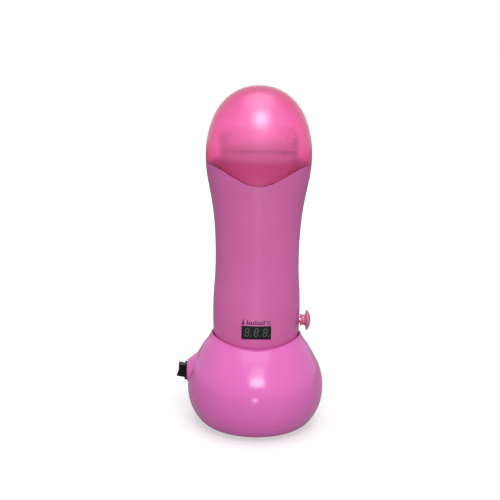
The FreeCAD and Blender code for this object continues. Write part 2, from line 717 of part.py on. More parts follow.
def cartridge_head():
    """Roller carrier: a collar block with a round trough, a feed slot and two cheeks with axle holes."""
    half = HEAD_HALF
    depth = CARTRIDGE_HALF_DEPTH + HEAD_OVERHANG
    trough = ROLLER_RADIUS + ROLLER_GAP
    inner = HEAD_HALF - CHEEK_THICKNESS
    head = stadium(half, depth, HEAD_Z, HEAD_TOP_Z)
    for side in (-1, 1):
        x0, x1 = sorted((side * inner, side * half))
        cheek = box(x0, x1, -CHEEK_RADIUS, CHEEK_RADIUS, HEAD_Z, ROLLER_Z)
        cheek = cheek.fuse(rod(CHEEK_RADIUS, Vector(x0, 0, ROLLER_Z), RIGHT, x1 - x0))
        head = head.fuse(cheek)
    head = head.cut(rod(trough, Vector(-inner, 0, ROLLER_Z), RIGHT, 2 * inner))
    slot = stadium(CARTRIDGE_HALF - 2 * CARTRIDGE_WALL, ROLLER_RADIUS / 2, HEAD_Z, ROLLER_Z)
    head = head.cut(slot.common(box(-inner, inner, -FAR, FAR, HEAD_Z, ROLLER_Z)))
    hole = rod(ROLLER_AXLE_RADIUS + AXLE_CLEARANCE, Vector(-half, 0, ROLLER_Z), RIGHT, 2 * half)
    return head.cut(hole).removeSplitter()


def roller():
    """Spreading roller with its two axle stubs."""
    half = ROLLER_LENGTH / 2
    reach = HEAD_HALF - ROLLER_GAP
    bevel = ROLLER_GAP
    outline = [(0, -reach), (ROLLER_AXLE_RADIUS, -reach), (ROLLER_AXLE_RADIUS, -half), (ROLLER_RADIUS - bevel, -half),
               (ROLLER_RADIUS, bevel - half), (ROLLER_RADIUS, half - bevel), (ROLLER_RADIUS - bevel, half),
               (ROLLER_AXLE_RADIUS, half), (ROLLER_AXLE_RADIUS, reach), (0, reach)]
    return along_x(spun_outline(outline), ROLLER_Z)


def bell_ring(half_width, half_depth, z):
    """One level of the dock's skin."""
    return Part.Wire(Part.Ellipse(Vector(0, 0, z), half_width, half_depth).toShape())


def rim_half():
    """Half width of the dock's rim, round the handpiece."""
    return skin_half(RIM_HEIGHT) + DOCK_CLEARANCE + RIM_LIP


def blend(values, t):
    """Cubic Bezier blend of four values."""
    weights = ((1 - t) ** 3, 3 * t * (1 - t) ** 2, 3 * t ** 2 * (1 - t), t ** 3)
    return sum(w * v for w, v in zip(weights, values))


def bell(inset):
    """The dock's skin moved in by inset and filled: round at the foot and bulge, oval at the rim."""
    rings = []
    for degrees in (0, 30, 60):
        a = math.radians(degrees)
        radius = FOOT_RADIUS + (BULGE_RADIUS - FOOT_RADIUS - inset) * math.sin(a)
        z = BULGE_HEIGHT - (BULGE_HEIGHT - FOOT_DROP - inset) * math.cos(a)
        rings.append(bell_ring(radius, radius, z))
    rim_width = rim_half()
    rim_depth = rim_half() * SECTION_DEPTH
    levels = (BULGE_HEIGHT, BULGE_HEIGHT + FLANK_REACH, RIM_HEIGHT - RIM_REACH, RIM_HEIGHT)
    sides = []
    for rim in (rim_width, rim_depth):
        sides.append((BULGE_RADIUS, BULGE_RADIUS, rim + FLANK_SHARE * (BULGE_RADIUS - rim), rim))
    for step in range(7):
        t = step / 6
        half_width, half_depth = (blend(side, t) - inset for side in sides)
        rings.append(bell_ring(half_width, half_depth, blend(levels, t)))
    return Part.makeLoft(rings, True)


def switch_box(grow, x0, x1):
    """A block behind the switch's bezel outline, grown by a margin."""
    half_width = BEZEL_HALF_WIDTH + grow
    half_height = BEZEL_HALF_HEIGHT + grow
    return box(x0, x1, -half_width, half_width, SWITCH_HEIGHT - half_height, SWITCH_HEIGHT + half_height)


def rounded_switch_box(grow, x0, x1):
    """The same block with its four long edges rounded."""
    block = switch_box(grow, x0, x1)
    long_edges = [edge for edge in block.Edges if abs(edge.tangentAt(0).x) > 0.5]
    return block.makeFillet(SWITCH_CORNER, long_edges)


def switch_boss():
    """A coned pad on the dock's flank, with a flat face for the switch."""
    face = math.hypot(BEZEL_HALF_WIDTH, BEZEL_HALF_HEIGHT) + SWITCH_BOSS_MARGIN
    root = face + SWITCH_BODY_DEPTH * math.tan(math.radians(SWITCH_BOSS_SLOPE))
    start = Vector(-SWITCH_SEAT + SWITCH_BODY_DEPTH, 0, SWITCH_HEIGHT)
    pad = Part.makeCone(root, face, SWITCH_BODY_DEPTH, start, -RIGHT)
    face_edges = [edge for edge in pad.Edges if edge.BoundBox.XMax < start.x - SWITCH_BODY_DEPTH / 2]
    return pad.makeFillet(SWITCH_CORNER, face_edges)


def inlet_post(grow, y0, y1):
    """A flat-sided oval post along Y on the inlet's axis, grown by a margin."""
    post = stadium(INLET_HALF_WIDTH + grow, INLET_HALF_HEIGHT + grow, -y1, -y0)
    post.rotate(Vector(), RIGHT, 90)
    post.translate(Vector(0, 0, INLET_HEIGHT))
    return post


def post_places():
    """Where the dock's four screws stand."""
    return [(x * POST_X, y * POST_Y) for x in (-1, 1) for y in (-1, 1)]


def dock_shell():
    """Bell-shaped dock with the handpiece's well, four screw posts and flat seats for switch and inlet."""
    outer = bell(0)
    well = skin_solid(-DOCK_CLEARANCE, DOCK_FLOOR_HEIGHT, 1)
    lining = skin_solid(-DOCK_CLEARANCE - WELL_WALL, FLOOR_UNDER_Z, 1)
    inner = bell(DOCK_WALL)
    cavity = inner.common(slab(0, RIM_HEIGHT - RIM_DIP - RIM_SOLID)).cut(lining)
    mouth = rod(COVER_RADIUS + COVER_GAP, Vector(0, 0, 0), UP, BULGE_HEIGHT / 2)
    shell = outer.cut(cavity).cut(mouth.cut(slab(POST_FOOT_Z, FAR)))
    inlet_boss = inlet_post(INLET_WALL + INLET_FLANGE + INLET_BOSS_MARGIN, INLET_SEAT - INLET_DEPTH, INLET_SEAT)
    shell = shell.fuse(switch_boss().cut(inner)).fuse(inlet_boss.cut(inner))
    for x, y in post_places():
        shell = shell.fuse(rod(POST_RADIUS, Vector(x, y, POST_FOOT_Z), UP, FLOOR_UNDER_Z - POST_FOOT_Z))
    rim_reach = rim_half()
    scoop = (rim_reach ** 2 + RIM_DIP ** 2) / (2 * RIM_DIP)
    scoop_z = RIM_HEIGHT - RIM_DIP + scoop
    shell = shell.cut(well).cut(rod(scoop, Vector(0, -FAR, scoop_z), BACK, 2 * FAR))
    body = switch_box(SWITCH_FIT - BEZEL_LIP, -FAR, -SWITCH_SEAT + SWITCH_BODY_DEPTH)
    shell = shell.cut(body).cut(inlet_post(INLET_WALL + INLET_FIT, INLET_SEAT - INLET_DEPTH, FAR))
    for x, y in post_places():
        pilot = rod(DOCK_SCREW_RADIUS + SCREW_CLEARANCE, Vector(x, y, POST_FOOT_Z), UP, DOCK_SCREW_BITE)
        shell = shell.cut(pilot)
    for side in (-1, 1):
        hole = rod(PIN_RADIUS + PIN_CLEARANCE, Vector(side * CONTACT_X, 0, 0), UP, DOCK_FLOOR_HEIGHT)
        shell = shell.cut(hole)
    rim_edges = [edge for edge in shell.Edges if edge.BoundBox.ZMin > RIM_HEIGHT - RIM_DIP - RIM_SOLID / 2]
    return shell.makeFillet(RIM_ROUNDING * RIM_LIP, rim_edges)


def dock_cover():
    """Round cover under the dock, with a groove for the foot ring and four screw recesses."""
    cover = rod(COVER_RADIUS, Vector(0, 0, FOOT_DROP), UP, COVER_THICKNESS)
    for x, y in post_places():
        cover = cover.fuse(rod(POST_RADIUS + SCREW_WEB, Vector(x, y, FOOT_DROP), UP, POST_FOOT_Z - FOOT_DROP))
    for x, y in post_places():
        cover = cover.cut(rod(DOCK_SCREW_HEAD_RADIUS + SCREW_CLEARANCE, Vector(x, y, FOOT_DROP), UP, SCREW_RECESS))
        cover = cover.cut(rod(DOCK_SCREW_RADIUS + SCREW_CLEARANCE, Vector(x, y, FOOT_DROP), UP, POST_FOOT_Z))
    return cover.cut(foot_ring(RING_FIT, FOOT_DROP, RING_SEAT)).removeSplitter()


def foot_ring(grow, z, height):
    """A flat ring on the foot's circle, grown on both sides by a margin."""
    ring = rod(RING_OUTER + grow, Vector(0, 0, z), UP, height)
    return ring.cut(rod(RING_OUTER - RING_WIDTH - grow, Vector(0, 0, z), UP, height))


def rubber_ring():
    """Non-slip rubber ring that the dock stands on."""
    return foot_ring(0, 0, FOOT_DROP + RING_SEAT)


def dock_screws():
    """Four screws that hold the cover to the dock's posts."""
    seat = FOOT_DROP + SCREW_RECESS
    screws = []
    for x, y in post_places():
        head = rod(DOCK_SCREW_HEAD_RADIUS, Vector(x, y, seat - DOCK_SCREW_HEAD), UP, DOCK_SCREW_HEAD)
        shank = rod(DOCK_SCREW_RADIUS, Vector(x, y, seat), UP, SCREW_WEB + DOCK_SCREW_BITE)
        screws.append(head.fuse(shank).removeSplitter())
    return Part.makeCompound(screws)


def spring_seat_z():
    """Floor of the contact block's bores, where the springs stand."""
    return FLOOR_UNDER_Z - BLOCK_HEIGHT + BLOCK_FLOOR


def pin_collar_z():
    """Underside of a contact pin's collar."""
    return FLOOR_UNDER_Z - PIN_LIFT - PIN_COLLAR


def contact_block():
    """Insulating block under the dock's floor that guides the spring pins."""
    bore = PIN_COLLAR_RADIUS + PIN_CLEARANCE
    block = stadium(CONTACT_X + bore + BLOCK_WALL, bore + BLOCK_WALL, FLOOR_UNDER_Z - BLOCK_HEIGHT, FLOOR_UNDER_Z)
    for side in (-1, 1):
        at = Vector(side * CONTACT_X, 0, spring_seat_z())
        block = block.cut(rod(bore, at, UP, BLOCK_HEIGHT))
        tail = Vector(side * CONTACT_X, 0, 0)
        block = block.cut(rod(PIN_TAIL_RADIUS + PIN_CLEARANCE, tail, UP, FLOOR_UNDER_Z))
    return block


def contact_pin(side):
    """One brass spring pin: round tip, shank, collar and tail."""
    collar_z = pin_collar_z()
    tail_z = FLOOR_UNDER_Z - BLOCK_HEIGHT - PIN_TAIL
    shoulder = PIN_TIP_Z - PIN_RADIUS / 2
    outline = [
        line((0, tail_z), (PIN_TAIL_RADIUS, tail_z)),
        line((PIN_TAIL_RADIUS, tail_z), (PIN_TAIL_RADIUS, collar_z)),
        line((PIN_TAIL_RADIUS, collar_z), (PIN_COLLAR_RADIUS, collar_z)),
        line((PIN_COLLAR_RADIUS, collar_z), (PIN_COLLAR_RADIUS, collar_z + PIN_COLLAR)),
        line((PIN_COLLAR_RADIUS, collar_z + PIN_COLLAR), (PIN_RADIUS, collar_z + PIN_COLLAR)),
        line((PIN_RADIUS, collar_z + PIN_COLLAR), (PIN_RADIUS, shoulder)),
        bezier((PIN_RADIUS, shoulder), (PIN_RADIUS, PIN_TIP_Z), (PIN_RADIUS / 2, PIN_TIP_Z), (0, PIN_TIP_Z)),
        line((0, PIN_TIP_Z), (0, tail_z)),
    ]
    pin = spun(outline)
    pin.translate(Vector(side * CONTACT_X, 0, 0))
    return pin


def contact_spring(side):
    """Coil spring round a pin's tail, between the block's floor and the pin's collar."""
    wire = SPRING_WIRE / 2
    coil = PIN_COLLAR_RADIUS - wire - SPRING_CLEARANCE
    low = spring_seat_z() + wire + SPRING_CLEARANCE
    height = pin_collar_z() - wire - SPRING_CLEARANCE - low
    helix = Part.makeHelix(height / SPRING_TURNS, height, coil)
    section = Part.Wire(Part.Circle(Vector(coil, 0, 0), BACK, wire).toShape())
    spring = Part.Wire(helix).makePipeShell([section], True, True)
    spring.translate(Vector(side * CONTACT_X, 0, low))
    return spring


def rocker_pivot():
    """Where the rocker turns: (x, z) of its pin."""
    return -SWITCH_SEAT - ROCKER_PIVOT_OUT, SWITCH_HEIGHT


def switch_housing():
    """Switch case: a thin frame on the dock's flat seat and a box behind it, open to the rocker."""
    frame = rounded_switch_box(0, -SWITCH_SEAT - BEZEL_THICKNESS, -SWITCH_SEAT)
    body = switch_box(-BEZEL_LIP, -SWITCH_SEAT, -SWITCH_SEAT + SWITCH_BODY_DEPTH)
    pocket = switch_box(-BEZEL_LIP - SWITCH_WALL, -FAR, -SWITCH_SEAT + SWITCH_BODY_DEPTH - SWITCH_FLOOR)
    housing = frame.fuse(body).cut(pocket)
    x, z = rocker_pivot()
    pin_bore = rod(ROCKER_PIN_RADIUS + AXLE_CLEARANCE, Vector(x, -FAR, z), BACK, 2 * FAR)
    return housing.cut(pin_bore).removeSplitter()


def switch_rocker():
    """Dished rocker on its pin, tipped with the lower half out."""
    x, z = rocker_pivot()
    tilt = math.radians(ROCKER_TILT)
    opening = BEZEL_HALF_HEIGHT - BEZEL_LIP - SWITCH_WALL
    half = (opening - ROCKER_END_GAP - ROCKER_ROOT * math.sin(tilt)) / math.cos(tilt)
    half_width = BEZEL_HALF_WIDTH - BEZEL_LIP - SWITCH_WALL - ROCKER_SIDE_GAP
    outline = [
        line((x + ROCKER_ROOT, z - half), (x - ROCKER_RISE, z - half)),
        arc((x - ROCKER_RISE, z - half), (x - ROCKER_RISE + ROCKER_DISH, z), (x - ROCKER_RISE, z + half)),
        line((x - ROCKER_RISE, z + half), (x + ROCKER_ROOT, z + half)),
        line((x + ROCKER_ROOT, z + half), (x + ROCKER_ROOT, z - half)),
    ]
    face = Part.Face(Part.Wire(outline))
    face.translate(Vector(0, -half_width, 0))
    paddle = face.extrude(Vector(0, 2 * half_width, 0))
    reach = BEZEL_HALF_WIDTH - BEZEL_LIP - SWITCH_WALL / 2
    paddle = paddle.fuse(rod(ROCKER_PIN_RADIUS, Vector(x, -reach, z), BACK, 2 * reach)).removeSplitter()
    paddle.rotate(Vector(x, 0, z), BACK, ROCKER_TILT)
    return paddle


def switch_terminals():
    """Two blades at the back of the switch."""
    x = -SWITCH_SEAT + SWITCH_BODY_DEPTH
    blades = []
    for side in (-1, 1):
        z = SWITCH_HEIGHT + side * TERMINAL_PITCH / 2
        blades.append(box(x, x + TERMINAL_LENGTH, -TERMINAL_WIDTH / 2, TERMINAL_WIDTH / 2,
                          z - TERMINAL_THICKNESS / 2, z + TERMINAL_THICKNESS / 2))
    return Part.makeCompound(blades)


def power_inlet():
    """Two-pin inlet: a flanged oval socket let into the dock's back."""
    front = INLET_SEAT + INLET_FLANGE_THICKNESS
    floor = front - INLET_DEPTH
    flange = inlet_post(INLET_WALL + INLET_FLANGE, INLET_SEAT, front)
    body = inlet_post(INLET_WALL, floor - INLET_BACK, INLET_SEAT)
    inlet = flange.fuse(body).cut(inlet_post(0, floor, front))
    for side in (-1, 1):
        at = Vector(side * INLET_PIN_PITCH / 2, 0, INLET_HEIGHT)
        inlet = inlet.cut(rod(INLET_PIN_RADIUS, at, BACK, FAR))
    return inlet.removeSplitter()


def inlet_pins():
    """The inlet's two contact pins."""
    front = INLET_SEAT + INLET_FLANGE_THICKNESS
    start = front - INLET_DEPTH - INLET_BACK - INLET_TAIL
    pins = []
    for side in (-1, 1):
        at = Vector(side * INLET_PIN_PITCH / 2, start, INLET_HEIGHT)
        pins.append(rod(INLET_PIN_RADIUS, at, BACK, front - INLET_PIN_RECESS - start))
    return Part.makeCompound(pins)


def build():
    """Every piece by name."""
    tube = shell_tube()
    return {
        "cap": cap(),
        "front_shell": front_shell(tube),
        "rear_shell": rear_shell(tube),
        "case_screws": case_screws(),
        "cap_collar": cap_collar(),
        "heater_cup": heater_cup(),
        "heating_plates": heating_plates(),
        "insulation_sheets": insulation_sheets(),
        "thermal_fuse": thermal_fuse(),
        "temperature_sensor": temperature_sensor(),
        "control_board": control_board(),
        "display_module": display_module(),
        "display_digits": display_digits(),
        "potentiometer": potentiometer(),
        "control_shaft": control_shaft(),
        "temperature_knob": temperature_knob(),
        "bottom_plate": bottom_plate(),
        "contact_studs": contact_studs(),
        "cartridge_body": cartridge_body(),
        "wax_fill": wax_fill(),
        "cartridge_head": cartridge_head(),
        "roller": roller(),
        "dock_shell": dock_shell(),
        "dock_cover": dock_cover(),
        "rubber_ring": rubber_ring(),
        "dock_screws": dock_screws(),
        "contact_block": contact_block(),
        "contact_pin_left": contact_pin(-1),
        "contact_pin_right": contact_pin(1),
        "contact_spring_left": contact_spring(-1),
        "contact_spring_right": contact_spring(1),
        "switch_housing": switch_housing(),
        "switch_rocker": switch_rocker(),
        "switch_terminals": switch_terminals(),
        "power_inlet": power_inlet(),
        "inlet_pins": inlet_pins(),
    }


os.makedirs("parts", exist_ok=True)
for name, shape in build().items():
    shape.exportStep(f"parts/{name}.step")
    print(f"{name}: {len(shape.Solids)} solids, {shape.Volume:.0f} mm3, valid {shape.isValid()}")
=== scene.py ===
import json
import math

import bpy
from mathutils import Euler, Matrix, Vector


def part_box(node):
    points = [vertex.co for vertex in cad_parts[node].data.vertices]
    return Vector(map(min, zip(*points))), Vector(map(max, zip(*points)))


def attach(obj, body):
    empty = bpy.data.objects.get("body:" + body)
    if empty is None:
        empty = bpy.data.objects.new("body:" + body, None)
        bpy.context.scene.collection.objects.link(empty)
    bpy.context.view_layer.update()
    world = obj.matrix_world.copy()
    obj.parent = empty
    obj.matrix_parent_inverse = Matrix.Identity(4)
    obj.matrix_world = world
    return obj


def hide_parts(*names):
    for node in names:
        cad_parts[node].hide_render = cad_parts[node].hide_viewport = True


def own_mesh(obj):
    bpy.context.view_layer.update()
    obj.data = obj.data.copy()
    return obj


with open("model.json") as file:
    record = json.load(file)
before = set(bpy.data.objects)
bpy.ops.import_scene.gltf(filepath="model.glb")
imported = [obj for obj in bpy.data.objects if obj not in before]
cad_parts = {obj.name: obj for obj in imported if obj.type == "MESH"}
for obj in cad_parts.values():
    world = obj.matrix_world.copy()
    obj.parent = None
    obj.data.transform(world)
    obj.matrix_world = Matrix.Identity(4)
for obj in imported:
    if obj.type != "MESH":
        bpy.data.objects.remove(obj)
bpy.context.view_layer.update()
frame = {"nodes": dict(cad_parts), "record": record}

# All sizes are in millimetres and become metres where they are used
MM = 0.001

# Camera: where it stands, how far it looks down and leans, and its lens
CAMERA_PLACE = (-5.0, -600.0, 249.0)
CAMERA_PITCH_DEGREES = 11.66
CAMERA_ROLL_DEGREES = 0.85
CAMERA_LENS = 64.6
CAMERA_SENSOR = 36.0

# Light: softboxes as (place, width, watts), and the level at which the white room lights the object
SOFTBOX_TOP = ((0.0, -250.0, 1400.0), 1000.0, 8.0)
SOFTBOX_FRONT = ((60.0, -950.0, 950.0), 430.0, 8.5)
SOFTBOX_LOW = ((0.0, -250.0, 30.0), 25.0, 0.035)
LIGHT_TARGET = (0.0, 0.0, 120.0)
ROOM_LEVEL = 0.35

# What a ray sees of the room and the floor dims with each bounce off a matt face, down to this level
DIM_BOUNCES = 2.0
DIM_LEVEL = 0.2

# Floor: its size, its gap under the object, and its own light, which grows to white away from the object
FLOOR_WIDTH = 8000.0
FLOOR_DROP = 0.3
FLOOR_LIFT = 0.55
FLOOR_FADE_START = 150.0
FLOOR_FADE_END = 600.0
FLOOR_CLOUD = 400.0

# Surfaces: where a drift of shade starts and ends, and how strongly grain and tool marks stand out
SHADE_START = 0.3
SHADE_END = 0.7
GRAIN_STRENGTH = 0.5
TOOL_MARK_STRENGTH = 0.3
TOOL_MARK_DEPTH = 0.01

# Sizes of patterns, and the wave texture's scale that gives one band to a metre
TARNISH_SIZE = 6.0
CAP_SPECK = 0.9
MELT_FLOW = 7.0
MICA_FLAKE = 2.5
TRACK_PITCH = 6.0
MASK_SPECK = 1.5
WAVE_SCALE = 0.314

# Printed marks over the display
MARKS_Z = 80.9
MARKS_HALF = 9.8
MARK_HEIGHT = 2.4
TICK_COUNT = 9
LONG_TICK_EVERY = 4
SHORT_TICK_SHARE = 0.6
TICK_PITCH = 1.4
TICK_WIDTH = 0.75
TICK_START = -6.0
RULE_HEIGHT = 0.45
RULE_CUTS = 12
BULB_RADIUS = 0.9
BULB_SIDES = 24
BULB_INSET = 0.3
STEM_WIDTH = 0.8
UNIT_SIZE = 3.2
UNIT_WEIGHT = 0.1
PRINT_STANDOFF = 20.0
PRINT_LIFT = 0.02
PRINT_THICKNESS = 0.03

# Marks on the switch's rocker
ROCKER_MARK_HEIGHT = 1.9
ROCKER_MARK_WIDTH = 0.45
ROCKER_MARK_STEP = 2.1
RING_SIDES = 32

# Screws with a cross recess: heads, shank, recess, and how each copy is turned on
DOCK_SCREW_HEAD_RADIUS = 2.7
DOCK_SCREW_HEAD = 1.7
CASE_SCREW_HEAD_RADIUS = 2.8
CASE_SCREW_HEAD = 1.9
SCREW_SHANK_RADIUS = 1.45
SCREW_SIDES = 48
SCREW_EDGE = 0.4
SCREW_EDGE_STEPS = 3
SCREW_TIP = 1.6
SCREW_TIP_SHARE = 0.3
SCREW_SMOOTH_DEGREES = 35
SCREW_TURN_DEGREES = 23
SCREW_TURN_STEP_DEGREES = 37
CROSS_LENGTH = 3.1
CROSS_WIDTH = 0.75
CROSS_DEPTH = 0.95

# Meshes: how near points are merged, how near an edge lies to a level, and how square a face stands to it
MERGE_DISTANCE = 0.001
LEVEL_TOLERANCE = 0.018
SQUARE = 0.9


def linear(hex_colour):
    """An sRGB hex colour as linear red, green, blue and alpha."""
    channels = []
    for start in (0, 2, 4):
        value = int(hex_colour[start:start + 2], 16) / 255
        if value <= 0.04045:
            channels.append(value / 12.92)
        else:
            channels.append(((value + 0.055) / 1.055) ** 2.4)
    return (*channels, 1.0)


def add(tree, kind, settings=None, links=None):
    """Adds a node, sets its sockets, attributes or colour stops, and links its inputs."""
    node = tree.nodes.new(kind)
    for name, value in (settings or {}).items():
        if name == "stops":
            for element, (place, colour) in zip(node.color_ramp.elements, value):
                element.position = place
                element.color = linear(colour)
        elif isinstance(name, int) or name in node.inputs:
            node.inputs[name].default_value = value
        else:
            setattr(node, name, value)
    for name, source in (links or {}).items():
        tree.links.new(source, node.inputs[name])
    return node


def begin(name):
    """A new material with an empty tree, and the piece's own coordinates in it."""
    material = bpy.data.materials.new(name)
    material.use_nodes = True
    tree = material.node_tree
    tree.nodes.clear()
    place = add(tree, "ShaderNodeTexCoord").outputs["Object"]
    return material, tree, place


def moulded(name, shades, drift, grain, depth, roughness, finish):
    """A moulded plastic: a slow drift between two shades, and a fine grain in gloss and relief, in mm.

    The real grain is too fine to show, so it is drawn coarser.
    """
    material, tree, place = begin(name)
    cloud = add(tree, "ShaderNodeTexNoise", {"Scale": 1 / (drift * MM), "Detail": 2.0}, {"Vector": place})
    tint = add(tree, "ShaderNodeValToRGB", {"stops": [(SHADE_START, shades[0]), (SHADE_END, shades[1])]},
               {"Fac": cloud.outputs["Fac"]})
    speck = add(tree, "ShaderNodeTexNoise", {"Scale": 1 / (grain * MM), "Detail": 3.0}, {"Vector": place})
    gloss = add(tree, "ShaderNodeMapRange", {"To Min": roughness[0], "To Max": roughness[1]},
                {"Value": speck.outputs["Fac"]})
    relief = add(tree, "ShaderNodeBump", {"Strength": GRAIN_STRENGTH, "Distance": depth * MM},
                 {"Height": speck.outputs["Fac"]})
    shader = add(tree, "ShaderNodeBsdfPrincipled", finish,
                 {"Base Color": tint.outputs["Color"], "Roughness": gloss.outputs["Result"],
                  "Normal": relief.outputs["Normal"]})
    add(tree, "ShaderNodeOutputMaterial", {}, {"Surface": shader.outputs["BSDF"]})
    return material


def worked_metal(name, shades, band, axis, roughness):
    """A metal with tool marks: fine bands across one axis, in mm, over a cloudy tarnish.

    The real marks are too fine to show, so they are drawn coarser.
    """
    material, tree, place = begin(name)
    cloud = add(tree, "ShaderNodeTexNoise", {"Scale": 1 / (TARNISH_SIZE * MM), "Detail": 4.0},
                {"Vector": place})
    tint = add(tree, "ShaderNodeValToRGB", {"stops": [(SHADE_START, shades[0]), (SHADE_END, shades[1])]},
               {"Fac": cloud.outputs["Fac"]})
    marks = add(tree, "ShaderNodeTexWave",
                {"bands_direction": axis, "Scale": WAVE_SCALE / (band * MM), "Distortion": 1.5,
                 "Detail": 2.0}, {"Vector": place})
    gloss = add(tree, "ShaderNodeMapRange", {"To Min": roughness[0], "To Max": roughness[1]},
                {"Value": marks.outputs["Fac"]})
    relief = add(tree, "ShaderNodeBump", {"Strength": TOOL_MARK_STRENGTH, "Distance": TOOL_MARK_DEPTH * MM},
                 {"Height": marks.outputs["Fac"]})
    shader = add(tree, "ShaderNodeBsdfPrincipled", {"Metallic": 1.0},
                 {"Base Color": tint.outputs["Color"], "Roughness": gloss.outputs["Result"],
                  "Normal": relief.outputs["Normal"]})
    add(tree, "ShaderNodeOutputMaterial", {}, {"Surface": shader.outputs["BSDF"]})
    return material


def satin_pink_abs():
    """Handpiece: ABS from a lightly blasted mould, so its shine is soft and wide."""
    return moulded("satin_pink_abs", shades=("CA61A2", "D066A7"), drift=45.0, grain=0.8, depth=0.012,
                   roughness=(0.30, 0.38), finish={"IOR": 1.53, "Specular IOR Level": 0.35})


def polished_pink_abs():
    """Dock: ABS from a polished mould, so lamps show as small soft-edged lights."""
    return moulded("polished_pink_abs", shades=("D766B4", "DC6BB8"), drift=60.0, grain=5.0, depth=0.010,
                   roughness=(0.16, 0.22), finish={"IOR": 1.53, "Specular IOR Level": 0.35})


def rose_abs():
    """Knob: ABS of a dustier rose than the case, with a soft shine."""
    return moulded("rose_abs", shades=("C5678B", "CE7194"), drift=12.0, grain=0.7, depth=0.010,
                   roughness=(0.28, 0.36), finish={"IOR": 1.53})


def tinted_cap_acrylic():
    """Cap: frosted pink acrylic, deeper where its wall is thick, that blurs what stands away from it."""
    material, tree, place = begin("tinted_cap_acrylic")
    speck = add(tree, "ShaderNodeTexNoise", {"Scale": 1 / (CAP_SPECK * MM), "Detail": 2.0},
                {"Vector": place})
    gloss = add(tree, "ShaderNodeMapRange", {"To Min": 0.28, "To Max": 0.32},
                {"Value": speck.outputs["Fac"]})
    shader = add(tree, "ShaderNodeBsdfPrincipled",
                 {"Base Color": linear("FFFBFD"), "Transmission Weight": 1.0, "IOR": 1.45,
                  "Specular IOR Level": 1.0, "Coat Weight": 0.6, "Coat Roughness": 0.33},
                 {"Roughness": gloss.outputs["Result"]})
    tint = add(tree, "ShaderNodeVolumeAbsorption", {"Color": linear("FF9DE2"), "Density": 800.0})
    add(tree, "ShaderNodeOutputMaterial", {},
        {"Surface": shader.outputs["BSDF"], "Volume": tint.outputs["Volume"]})
    return material


def black_nylon():
    """Switch and inlet: black glass-filled nylon with a fine spark-eroded grain."""
    return moulded("black_nylon", shades=("020303", "050606"), drift=6.0, grain=0.35, depth=0.02,
                   roughness=(0.36, 0.5), finish={"IOR": 1.53, "Specular IOR Level": 0.15})


def display_epoxy():
    """Display block: black case with a smoked epoxy face that gives back little light."""
    return moulded("display_epoxy", shades=("020504", "060B08"), drift=8.0, grain=3.0, depth=0.004,
                   roughness=(0.25, 0.32), finish={"IOR": 1.55, "Specular IOR Level": 0.1})


def unlit_segment():
    """Display bars with no current: cloudy green epoxy over a dark chip."""
    return moulded("unlit_segment", shades=("1A2A22", "27382F"), drift=4.0, grain=0.5, depth=0.004,
                   roughness=(0.3, 0.4), finish={"IOR": 1.55})


def white_polypropylene():
    """Roller and carrier: milky polypropylene, slightly waxy."""
    return moulded("white_polypropylene", shades=("E9E7E2", "EFEDE8"), drift=20.0, grain=0.8, depth=0.01,
                   roughness=(0.32, 0.42), finish={"IOR": 1.49, "Subsurface Weight": 0.15,
                                                   "Subsurface Radius": (0.002, 0.002, 0.002),
                                                   "Subsurface Scale": 1.0})


def clear_polypropylene():
    """Wax container: thin natural polypropylene, see-through with a milky blur."""
    material, tree, place = begin("clear_polypropylene")
    flow = add(tree, "ShaderNodeTexNoise", {"Scale": 1 / (MELT_FLOW * MM), "Detail": 3.0}, {"Vector": place})
    gloss = add(tree, "ShaderNodeMapRange", {"To Min": 0.2, "To Max": 0.32}, {"Value": flow.outputs["Fac"]})
    tint = add(tree, "ShaderNodeValToRGB", {"stops": [(SHADE_START, "EFEAE9"), (SHADE_END, "F8F5F4")]},
               {"Fac": flow.outputs["Fac"]})
    shader = add(tree, "ShaderNodeBsdfPrincipled", {"Transmission Weight": 0.85, "IOR": 1.49},
                 {"Base Color": tint.outputs["Color"], "Roughness": gloss.outputs["Result"]})
    add(tree, "ShaderNodeOutputMaterial", {}, {"Surface": shader.outputs["BSDF"]})
    return material


def set_wax():
    """Wax charge: cooled depilatory wax, cloudy pink with light scattering inside."""
    return moulded("set_wax", shades=("E2909F", "EBA4B0"), drift=9.0, grain=2.0, depth=0.03,
                   roughness=(0.3, 0.45), finish={"IOR": 1.44, "Subsurface Weight": 0.4,
                                                  "Subsurface Radius": (0.006, 0.003, 0.003),
                                                  "Subsurface Scale": 1.0})


def spun_aluminium():
    """Heater cup: drawn aluminium with faint rings from the tool."""
    return worked_metal("spun_aluminium", shades=("B9BBBD", "CDCFD1"), band=0.9, axis="Z",
                        roughness=(0.24, 0.36))


def alumina_ceramic():
    """Heating plates: fired alumina, matt and off-white with tiny pores."""
    return moulded("alumina_ceramic", shades=("DFDBD0", "EBE8DF"), drift=5.0, grain=0.3, depth=0.015,
                   roughness=(0.5, 0.65), finish={"IOR": 1.7})


def mica_laminate():
    """Insulation: pressed mica flakes, with a dull metallic glint from flake to flake."""
    material, tree, place = begin("mica_laminate")
    flakes = add(tree, "ShaderNodeTexVoronoi", {"Scale": 1 / (MICA_FLAKE * MM)}, {"Vector": place})
    tint = add(tree, "ShaderNodeValToRGB", {"stops": [(0.0, "8F7C5E"), (1.0, "B9A884")]},
               {"Fac": flakes.outputs["Color"]})
    gloss = add(tree, "ShaderNodeMapRange", {"To Min": 0.25, "To Max": 0.5},
                {"Value": flakes.outputs["Distance"]})
    shader = add(tree, "ShaderNodeBsdfPrincipled", {"Metallic": 0.2},
                 {"Base Color": tint.outputs["Color"], "Roughness": gloss.outputs["Result"]})
    add(tree, "ShaderNodeOutputMaterial", {}, {"Surface": shader.outputs["BSDF"]})
    return material


